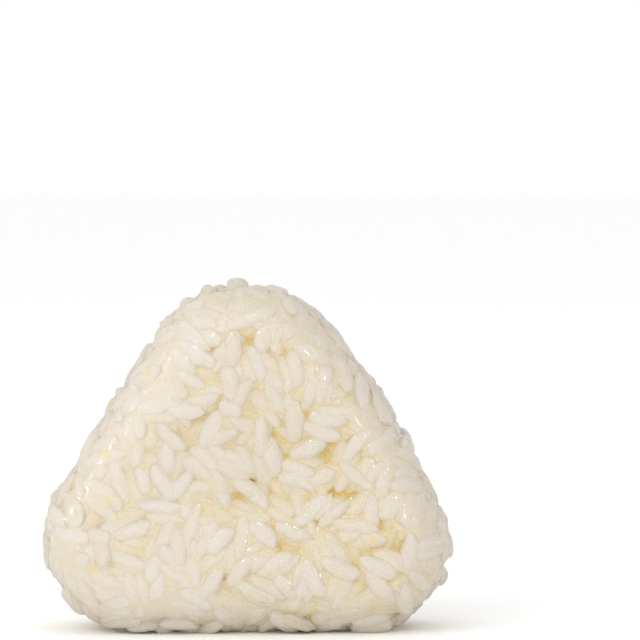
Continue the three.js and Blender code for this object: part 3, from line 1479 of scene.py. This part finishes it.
@dataclass
class RiceBall:
    """The ball: all of its grains that show, and the sticky mass between them.

    Attributes:
        mould: The form that it was pressed in.
        shown_depth: How far down grains show through the gaps.
        buried_depth: Depth from which a grain's form is plainer.
        hidden: How far inside the mass a grain is left out, in the units of its field.
        plump_share: Share of the whole grains that are plump.
        swell: How much larger the pressed grains are than the loose ones.
        rolling: How far grains are rolled from lying flat, as a spread.
        loose_proud: How much farther loose grains may stand out of the mould.
        pressed_edge: Softness with which the mould presses grains flat.
        softness: How far the light falls on a grain as on the whole ball, from 0 to 1.
        melted_softness: The same where grains have melted into each other.
        rim_softness: The same at the rim.
        rim_melting: How much more it is at the rim where grains have melted.
        rim_turn: Parts of the outward direction towards a face between which that is the rim.
        germs: Bits of yellow germ.
        germ_size: Radius of such a bit.
        germ_strength: How much of its colour its middle has.
        germ_heights: Heights above the mould's surface between which it sets in.
        seed: Seed of the grains' own shapes.
        skin: Finish of the grains.
        starch: Finish of the sticky mass, darker and yellower than the grains: partly the starch's
            own colour, partly painted shade in the gaps that it fills.
        forms: The form of each kind.
    """

    mould: Mould = field(default_factory=Mould)
    shown_depth: float = 5.6 * MM
    buried_depth: float = 3.2 * MM
    hidden: float = 0.1
    plump_share: float = 0.47
    swell: float = 0.08
    rolling: float = 0.35
    loose_proud: float = 0.7 * MM
    pressed_edge: float = 0.5 * MM
    softness: float = 0.62
    melted_softness: float = 0.88
    rim_softness: float = 0.32
    rim_melting: float = 0.2
    rim_turn: Pair = (0.85, 0.3)
    germs: tuple[Germ, ...] = (
        Germ(24.4, 18.9),
        Germ(12.6, 5.1),
        Germ(-27.8, 35.7),
        Germ(-19.6, 51.7),
        Germ(-30.3, 13.0),
        Germ(-27.5, 27.0),
        Germ(-16.2, 21.4, Face.BACK),
        Germ(7.9, 44.6, Face.BACK),
        Germ(29.5, 14.2, Face.BACK),
    )
    germ_size: float = 0.5 * MM
    germ_strength: float = 0.8
    germ_heights: Pair = (-2.5 * MM, -1.0 * MM)
    seed: int = 11
    skin: CookedRice = CookedRice()
    # The mass's colour is partly the starch's own and partly painted shade: darker and yellower,
    # so the gaps it fills look shaded.
    starch: CookedRice = CookedRice(
        "sticky_rice", top=srgb(194, 186, 169), clear=False, rough=0.5
    )
    forms: dict[Kind, GrainForm] = field(
        default_factory=lambda: {
            Kind.PLUMP: GrainForm(),
            Kind.SLENDER: GrainForm(
                germ_end=0.58, fullness=2.3, width=1.02, thickness=0.88, cut=0.86
            ),
            Kind.BROKEN: GrainForm(germ_end=0.4, fullness=2.8, cut=0.7),
            Kind.BURIED: GrainForm(rings=8, sides=10),
        }
    )

    def build(self) -> list[bpy.types.Object]:
        """Make the mass and one piece for each kind of grain.

        Returns:
            The pieces.
        """
        rng = np.random.default_rng(self.seed)
        grains = Packing(self.mould).settle()
        mass = StickyMass(self.mould, grains)
        depth = -self.mould.height(grains.centre)
        shown = depth < self.shown_depth
        grains, depth = grains.pick(shown), depth[shown]
        plump = rng.random(len(grains)) < self.plump_share
        buried = depth > self.buried_depth
        chosen = {
            Kind.PLUMP: plump & ~buried & ~grains.broken,
            Kind.SLENDER: ~plump & ~buried & ~grains.broken,
            Kind.BROKEN: grains.broken & ~buried,
            Kind.BURIED: buried,
        }
        skin, starch = self.skin.build(), self.starch.build()
        pieces = [self._filled(mass)]
        pieces[0].data.materials.append(starch)
        for kind, which in chosen.items():
            pieces.append(self._joined(kind, grains.pick(which), mass, rng))
            pieces[-1].data.materials.append(skin)
        for piece in pieces:
            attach(piece, "root")
            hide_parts(RICE_NODE)
        return pieces

    def _filled(self, mass: StickyMass) -> bpy.types.Object:
        """Make the sticky mass.

        Args:
            mass: What its form is worked out from.

        Returns:
            The piece.
        """
        grain = 2 * MM  # what a grain's own place is measured in
        points, quads = mass.grid.net(mass.filling)
        tone = np.full(len(points), 0.5)
        return self._dressed("rice_mass", points, quads.tolist(), points / grain, tone, mass)

    def _joined(
        self, kind: Kind, grains: Grains, mass: StickyMass, rng: np.random.Generator
    ) -> bpy.types.Object:
        """Join all grains of one kind into a piece.

        Args:
            kind: The kind.
            grains: Its grains.
            mass: The mass that holds them.
            rng: Source of chance.

        Returns:
            The piece.
        """
        form = self.forms[kind]
        grains.girth = grains.girth * (1 + self.swell * self.mould.pressed(grains.centre))
        own, unit_points = form.bodies(grains, rng)
        out = self.mould.outward(grains.centre) + rng.normal(0, self.rolling, (len(grains), 3))
        flat = unit(out - (out * grains.axis).sum(1)[:, None] * grains.axis)
        side = np.cross(flat, grains.axis)
        turned = np.stack([grains.axis, side, flat], 1)
        points = grains.centre[:, None, :] + np.einsum("gvi,gij->gvj", own, turned)
        points = self._pressed_points(points, grains.proud)
        shows = (mass.grid.sample(mass.filling, points) < self.hidden).any(1)
        points, unit_points = points[shows], unit_points[shows]
        count, each = points.shape[:2]
        faces = [tuple(k * each + v for v in face) for k in range(count) for face in form.faces]
        # Every grain has a part of its own in the finish's patterns.
        place = unit_points + rng.uniform(-50, 50, (count, 1, 3))
        tone = np.repeat(rng.random(count), each)
        return self._dressed(f"rice_{kind.value}", points, faces, place, tone, mass)

    def _pressed_points(self, points: Array, proud: Array) -> Array:
        """Press points that stick out of the mould back to its surface.

        Args:
            points: Points of the grains, grain by grain.
            proud: How far each grain may stand out.

        Returns:
            The pressed points.
        """
        limit = proud[:, None] + self.loose_proud * (1 - self.mould.pressed(points))
        over = (self.mould.height(points) - limit) / self.pressed_edge
        near = over > -4  # the soft edge moves nothing farther inside
        back = self.pressed_edge * np.logaddexp(0, over[near])
        pressed = points.copy()
        pressed[near] -= back[:, None] * self.mould.outward(points[near])
        return pressed

    def _germ(self, points: Array) -> Array:
        """Tell how much points take the colour of a germ.

        Args:
            points: The points.

        Returns:
            Shares from 0 to 1.
        """
        share = np.zeros(len(points))
        for germ in self.germs:
            far = (points[:, 0] - germ.x * MM) ** 2 + (points[:, 2] - germ.z * MM) ** 2
            here = self.germ_strength * np.exp(-0.5 * far / self.germ_size**2)
            share = np.maximum(share, here * (points[:, 1] * germ.face.value > 0))
        return share * smoothstep(*self.germ_heights, self.mould.height(points))

    def _dressed(
        self,
        name: str,
        points: Array,
        faces: Sequence[Sequence[int]],
        place: Array,
        tone: Array,
        mass: StickyMass,
    ) -> bpy.types.Object:
        """Make a piece with all that its finish reads.

        Args:
            name: Name of the piece.
            points: Its points.
            faces: Its faces.
            place: Place of each point in its own grain.
            tone: Tone of each point's grain.
            mass: The mass, which knows how deep each place is, and so its painted shade.

        Returns:
            The piece.
        """
        points = points.reshape(-1, 3)
        points[:, 2] = np.maximum(points[:, 2], 0.0)
        piece = mesh_object(name, points, faces)
        out = self.mould.outward(points)
        rim = smoothstep(*self.rim_turn, np.abs(out[:, 1]))
        melted = mass.melted(points)
        share = self.softness + (self.melted_softness - self.softness) * melted
        share += (self.rim_softness + self.rim_melting * melted - share) * rim
        turn_normals(piece, out, share)
        add_vectors(piece, "grain_place", place.reshape(-1, 3))
        # Painted shade, which the finish turns into darker, yellower colour.
        add_numbers(piece, "shade", mass.shade(points))
        add_numbers(piece, "tone", tone)
        add_numbers(piece, "melted", melted)
        add_numbers(piece, "germ", self._germ(points))
        log.info("%s: %d points, %d faces", name, len(points), len(faces))
        return piece


# ---- meshes --------------------------------------------------------------------------------


def mesh_object(name: str, points: Array, faces: Sequence[Sequence[int]]) -> bpy.types.Object:
    """Make a smooth mesh object in the scene.

    Args:
        name: Name of the object and its mesh.
        points: Its points.
        faces: Its faces, as rows of points.

    Returns:
        The object.
    """
    mesh = bpy.data.meshes.new(name)
    mesh.from_pydata(points, [], faces)
    mesh.shade_smooth()
    made = bpy.data.objects.new(name, mesh)
    bpy.context.scene.collection.objects.link(made)
    return made


def turn_normals(piece: bpy.types.Object, towards: Array, share: Array) -> None:
    """Turn the normals that light a piece, which softens its shading.

    Args:
        piece: The piece.
        towards: The direction to turn to, for each point.
        share: How far, from 0 to 1, for each point.
    """
    share = share[:, None]
    own = np.empty(len(piece.data.vertices) * 3, np.float32)
    piece.data.vertex_normals.foreach_get("vector", own)
    turned = unit((1 - share) * own.reshape(-1, 3) + share * towards)
    piece.data.normals_split_custom_set_from_vertices(turned.tolist())


def add_numbers(piece: bpy.types.Object, name: str, values: Array) -> None:
    """Store one number for each point of a piece."""
    layer = piece.data.attributes.new(name, "FLOAT", "POINT")
    layer.data.foreach_set("value", np.ascontiguousarray(values, np.float32).ravel())


def add_vectors(piece: bpy.types.Object, name: str, values: Array) -> None:
    """Store one vector for each point of a piece."""
    layer = piece.data.attributes.new(name, "FLOAT_VECTOR", "POINT")
    layer.data.foreach_set("vector", np.ascontiguousarray(values, np.float32).ravel())


# ---- the studio ----------------------------------------------------------------------------


class Effect(Enum):
    """What a light adds: the light that gives things their body, or only glints."""

    BODY = "body"
    GLINTS = "glints"


@dataclass(frozen=True)
class SoftBox:
    """One soft studio light, aimed at the ball.

    Attributes:
        name: Name of the light.
        place: Where it hangs.
        side: Length of its square face.
        power: Power in watts.
        effect: What it adds.
    """

    name: str
    place: tuple[float, float, float]
    side: float
    power: float
    effect: Effect

    def build(self, target: Vector) -> None:
        """Hang the light.

        Args:
            target: What it faces.
        """
        light = bpy.data.lights.new(self.name, "AREA")
        light.size = self.side
        light.energy = self.power
        made = bpy.data.objects.new(self.name, light)
        made.visible_glossy = self.effect is Effect.GLINTS
        made.visible_diffuse = self.effect is Effect.BODY
        made.location = self.place
        made.rotation_euler = (target - made.location).to_track_quat("-Z", "Y").to_euler()
        bpy.context.scene.collection.objects.link(made)


@dataclass
class Studio:
    """Floor, lights and camera.

    Attributes:
        elevation: Height of the camera above the ball's middle, in degrees.
        distance: From the camera to the ball's middle.
        pixel: Size of an image pixel at the ball.
        frame_middle: Where the ball's middle is in the image, in pixels from its top left.
        floor_radius: Radius of the floor.
        floor_sides: Corners of its outline.
        floor_drop: How far it lies below the ball.
        daylight: Strength of the even light from all around.
        boxes: The soft lights.
    """

    elevation: float = 4.5
    distance: float = 0.75
    pixel: float = 0.2 * MM
    frame_middle: Pair = (247.5, 452.0)
    floor_radius: float = 9.0
    floor_sides: int = 64
    floor_drop: float = 0.05 * MM
    daylight: float = 1.0
    boxes: tuple[SoftBox, ...] = (
        SoftBox("key_light", (-0.85, -0.75, 0.65), 0.8, 5.3, Effect.BODY),
        SoftBox("front_light", (-0.25, -0.9, 0.5), 0.5, 0.8, Effect.BODY),
        SoftBox("fill_light", (0.1, -1.0, 0.1), 0.18, 2.2, Effect.BODY),
        SoftBox("top_glint_light", (0.1, -0.75, 0.8), 0.05, 0.8, Effect.GLINTS),
        SoftBox("front_glint_light", (-0.25, -0.9, 0.5), 0.05, 1.4, Effect.GLINTS),
        SoftBox("left_glint_light", (-0.9, -0.35, 0.35), 0.06, 1.1, Effect.GLINTS),
        SoftBox("right_glint_light", (0.45, -0.9, 0.25), 0.05, 0.9, Effect.GLINTS),
    )

    def build(self) -> None:
        """Make the whole studio."""
        low, high = CAD_BOX
        middle = (low + high) / 2
        self._floor()
        self._world()
        for box in self.boxes:
            box.build(middle)
        self._camera(middle)

    def _floor(self) -> None:
        """Lay a wide pale disc just under the ball."""
        rim = np.linspace(0, math.tau, self.floor_sides, endpoint=False)
        across, deep = self.floor_radius * np.cos(rim), self.floor_radius * np.sin(rim)
        points = np.stack([across, deep, np.full(len(rim), -self.floor_drop)], 1)
        floor = mesh_object("floor", points, [tuple(range(len(rim)))])
        floor.data.materials.append(PaleBoard().build())

    def _world(self) -> None:
        """Surround the studio with an even white light."""
        world = bpy.data.worlds.new("studio")
        world.use_nodes = True
        background = world.node_tree.nodes["Background"]
        background.inputs["Color"].default_value = (1.0, 1.0, 1.0, 1.0)
        background.inputs["Strength"].default_value = self.daylight
        bpy.context.scene.world = world
        bpy.context.scene.view_settings.view_transform = "Standard"

    def _camera(self, middle: Vector) -> None:
        """Aim the camera beside the ball, so that it stands where the image has it.

        Args:
            middle: The ball's middle.
        """
        rise = math.radians(self.elevation)
        back = Vector((0, -math.cos(rise), math.sin(rise)))
        up = Vector((0, math.sin(rise), math.cos(rise)))
        right = Vector((1, 0, 0))
        half = IMAGE_SIDE / 2
        aim = middle + right * (half - self.frame_middle[0]) * self.pixel
        aim += up * (self.frame_middle[1] - half) * self.pixel
        data = bpy.data.cameras.new("camera")
        data.lens = data.sensor_width * self.distance / (IMAGE_SIDE * self.pixel)
        camera = bpy.data.objects.new("camera", data)
        camera.location = middle + back * self.distance
        camera.rotation_euler = (aim - camera.location).to_track_quat("-Z", "Y").to_euler()
        bpy.context.scene.collection.objects.link(camera)
        bpy.context.scene.camera = camera


# ---- making it all -------------------------------------------------------------------------


def main() -> None:
    """Build the ball and its studio."""
    logging.basicConfig(level=logging.INFO, format="%(name)s: %(message)s")
    for piece in RiceBall().build():
        log.info("made %s", piece.name)
    Studio().build()


if __name__ == "__main__":
    main()
